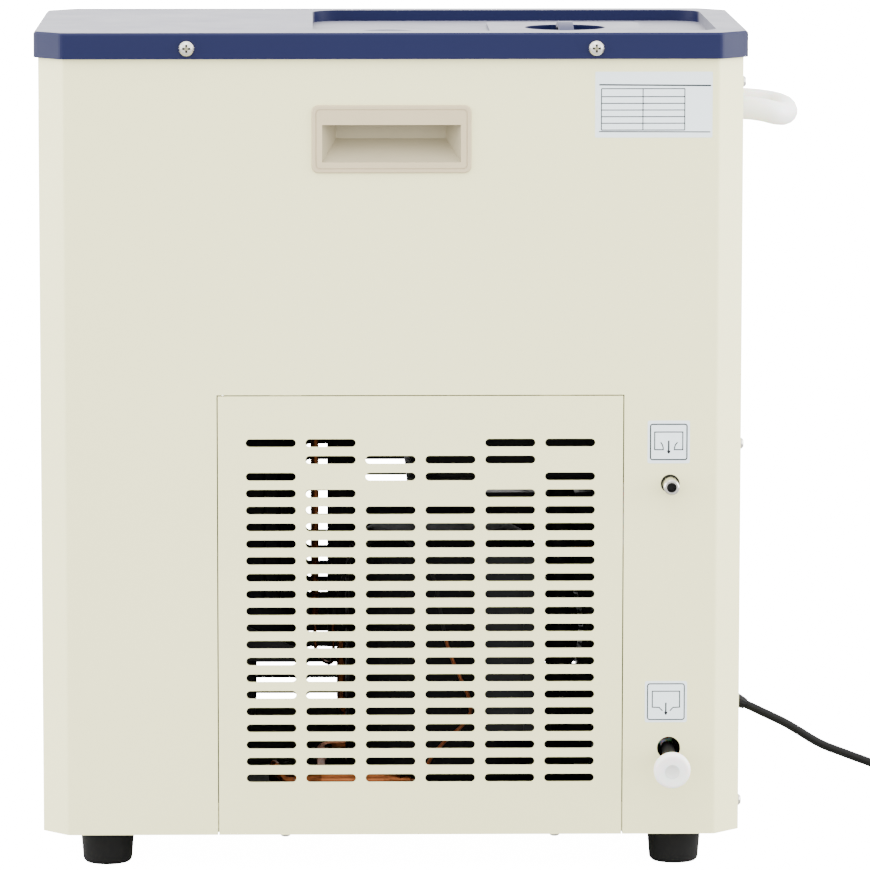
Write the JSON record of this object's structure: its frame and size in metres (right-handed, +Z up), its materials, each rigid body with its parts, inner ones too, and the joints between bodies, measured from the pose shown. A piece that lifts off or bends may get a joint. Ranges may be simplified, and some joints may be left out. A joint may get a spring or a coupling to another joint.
{
  "type": "recirculating chiller",
  "caption": "Tall cabinet chiller with slotted side panels, sunk top tray, filling lid with a round grip hollow, hose loop, overflow nozzle and plugged drain.",
  "frame": {"origin": "on the floor, under the middle of the casing", "axes": "+Z up; the pictured long side faces -Y; +X points to the end with the hose ports and the mains cord, -X to the control panel"},
  "size_m": [0.777, 0.3385, 0.6493],
  "materials": {
    "casing_paint": "satin, finely textured",
    "cover_paint": "smooth, semi-gloss",
    "cup_plastic": "moulded, fine grain",
    "foot_rubber": "dull",
    "zinc_steel": "zinc plated",
    "bezel_plastic": "moulded, fine grain",
    "window_red": "tinted, clear",
    "board_green": "solder resist",
    "key_plastic": "smooth",
    "switch_plastic": "moulded",
    "rocker_red": "translucent look, smooth",
    "rocker_green": "translucent look, smooth",
    "nozzle_steel": "turned, polished",
    "brass": "turned",
    "silicone": "milky, soft",
    "stainless": "brushed",
    "foam_black": "closed-cell foam",
    "galvanised": "galvanised sheet",
    "copper": "drawn copper, slightly dull",
    "pump_black": "satin black",
    "pump_plastic": "moulded",
    "hose_rubber": "smooth",
    "terminal_grey": "moulded",
    "fin_aluminium": "thin bright fins",
    "motor_steel": "pressed steel",
    "shroud_black": "satin black",
    "fan_plastic": "moulded",
    "cord_rubber": "smooth"
  },
  "bodies": {
    "cabinet": {"casing_shell": "casing_paint", "back_panel": "casing_paint", "base_tray": "casing_paint", "vent_panel_near": "casing_paint", "vent_panel_far": "casing_paint", "top_cover": "cover_paint", "tank_lid": "cover_paint", "hand_cup_near": "cup_plastic", "hand_cup_far": "cup_plastic", "feet": "foot_rubber", "foot_screws": "zinc_steel", "casing_screws": "zinc_steel", "control_bezel": "bezel_plastic", "display_window": "window_red", "controller_board": "board_green", "switch_housings": "switch_plastic", "overflow_nozzle": "nozzle_steel", "overflow_hose": "silicone", "drain_tube": "silicone", "drain_hose": "silicone", "hose_ports": "brass", "port_nuts": "zinc_steel", "loop_hose": "silicone", "tank": "stainless", "tank_foam": "foam_black", "tank_deck": "shroud_black", "evaporator_coil": "copper", "temperature_probe": "stainless", "pump_housing": "pump_black", "pump_cover": "pump_plastic", "pump_shelf": "shroud_black", "feed_hose": "hose_rubber", "supply_hose": "hose_rubber", "compressor": "pump_black", "compressor_mounts": "foot_rubber", "terminal_cover": "terminal_grey", "condenser_core": "fin_aluminium", "fan_shroud": "shroud_black", "fan_motor": "motor_steel", "filter_drier": "copper", "discharge_line": "copper", "liquid_line": "copper", "capillary": "copper", "suction_line": "copper", "partition": "galvanised", "mains_cord": "cord_rubber", "cord_coil": "cord_rubber", "mains_plug": "cord_rubber", "cord_gland": "cord_rubber", "suction_sleeve": "foam_black"},
    "fan": {"fan_rotor": "fan_plastic"},
    "pump_wheel": {"pump_rotor": "pump_plastic"},
    "set_key": {"key_set": "key_plastic"},
    "shift_key": {"key_shift": "key_plastic"},
    "down_key": {"key_down": "key_plastic"},
    "up_key": {"key_up": "key_plastic"},
    "power_switch": {"power_rocker": "rocker_red"},
    "cooling_switch": {"cooling_rocker": "rocker_green"},
    "pump_switch": {"pump_rocker": "rocker_green"},
    "plug": {"drain_plug": "silicone"}
  },
  "joints": [
    {"name": "fan_spin", "type": "hinge", "parent": "cabinet", "child": "fan", "pos_m": [0.07, 0, 0.1535], "axis": [0, 1, 0], "continuous": true},
    {"name": "pump_spin", "type": "hinge", "parent": "cabinet", "child": "pump_wheel", "pos_m": [-0.113, 0, 0.16], "axis": [0, 0, 1], "continuous": true},
    {"name": "set_key_press", "type": "slide", "parent": "cabinet", "child": "set_key", "axis": [1, 0, 0], "range_m": [0, 0.001], "stiffness_N_per_m": 800},
    {"name": "shift_key_press", "type": "slide", "parent": "cabinet", "child": "shift_key", "axis": [1, 0, 0], "range_m": [0, 0.001], "stiffness_N_per_m": 800},
    {"name": "down_key_press", "type": "slide", "parent": "cabinet", "child": "down_key", "axis": [1, 0, 0], "range_m": [0, 0.001], "stiffness_N_per_m": 800},
    {"name": "up_key_press", "type": "slide", "parent": "cabinet", "child": "up_key", "axis": [1, 0, 0], "range_m": [0, 0.001], "stiffness_N_per_m": 800},
    {"name": "power_rocker_tilt", "type": "hinge", "parent": "cabinet", "child": "power_switch", "pos_m": [-0.262, -0.052, 0.5053], "axis": [0, -1, 0], "range_deg": [0, 20]},
    {"name": "cooling_rocker_tilt", "type": "hinge", "parent": "cabinet", "child": "cooling_switch", "pos_m": [-0.262, 0, 0.5053], "axis": [0, -1, 0], "range_deg": [0, 20]},
    {"name": "pump_rocker_tilt", "type": "hinge", "parent": "cabinet", "child": "pump_switch", "pos_m": [-0.262, 0.052, 0.5053], "axis": [0, -1, 0], "range_deg": [0, 20]},
    {"name": "drain_plug_pull", "type": "slide", "parent": "cabinet", "child": "plug", "axis": [0, -0.9945, -0.1045], "range_m": [0, 0.02]}
  ]
}
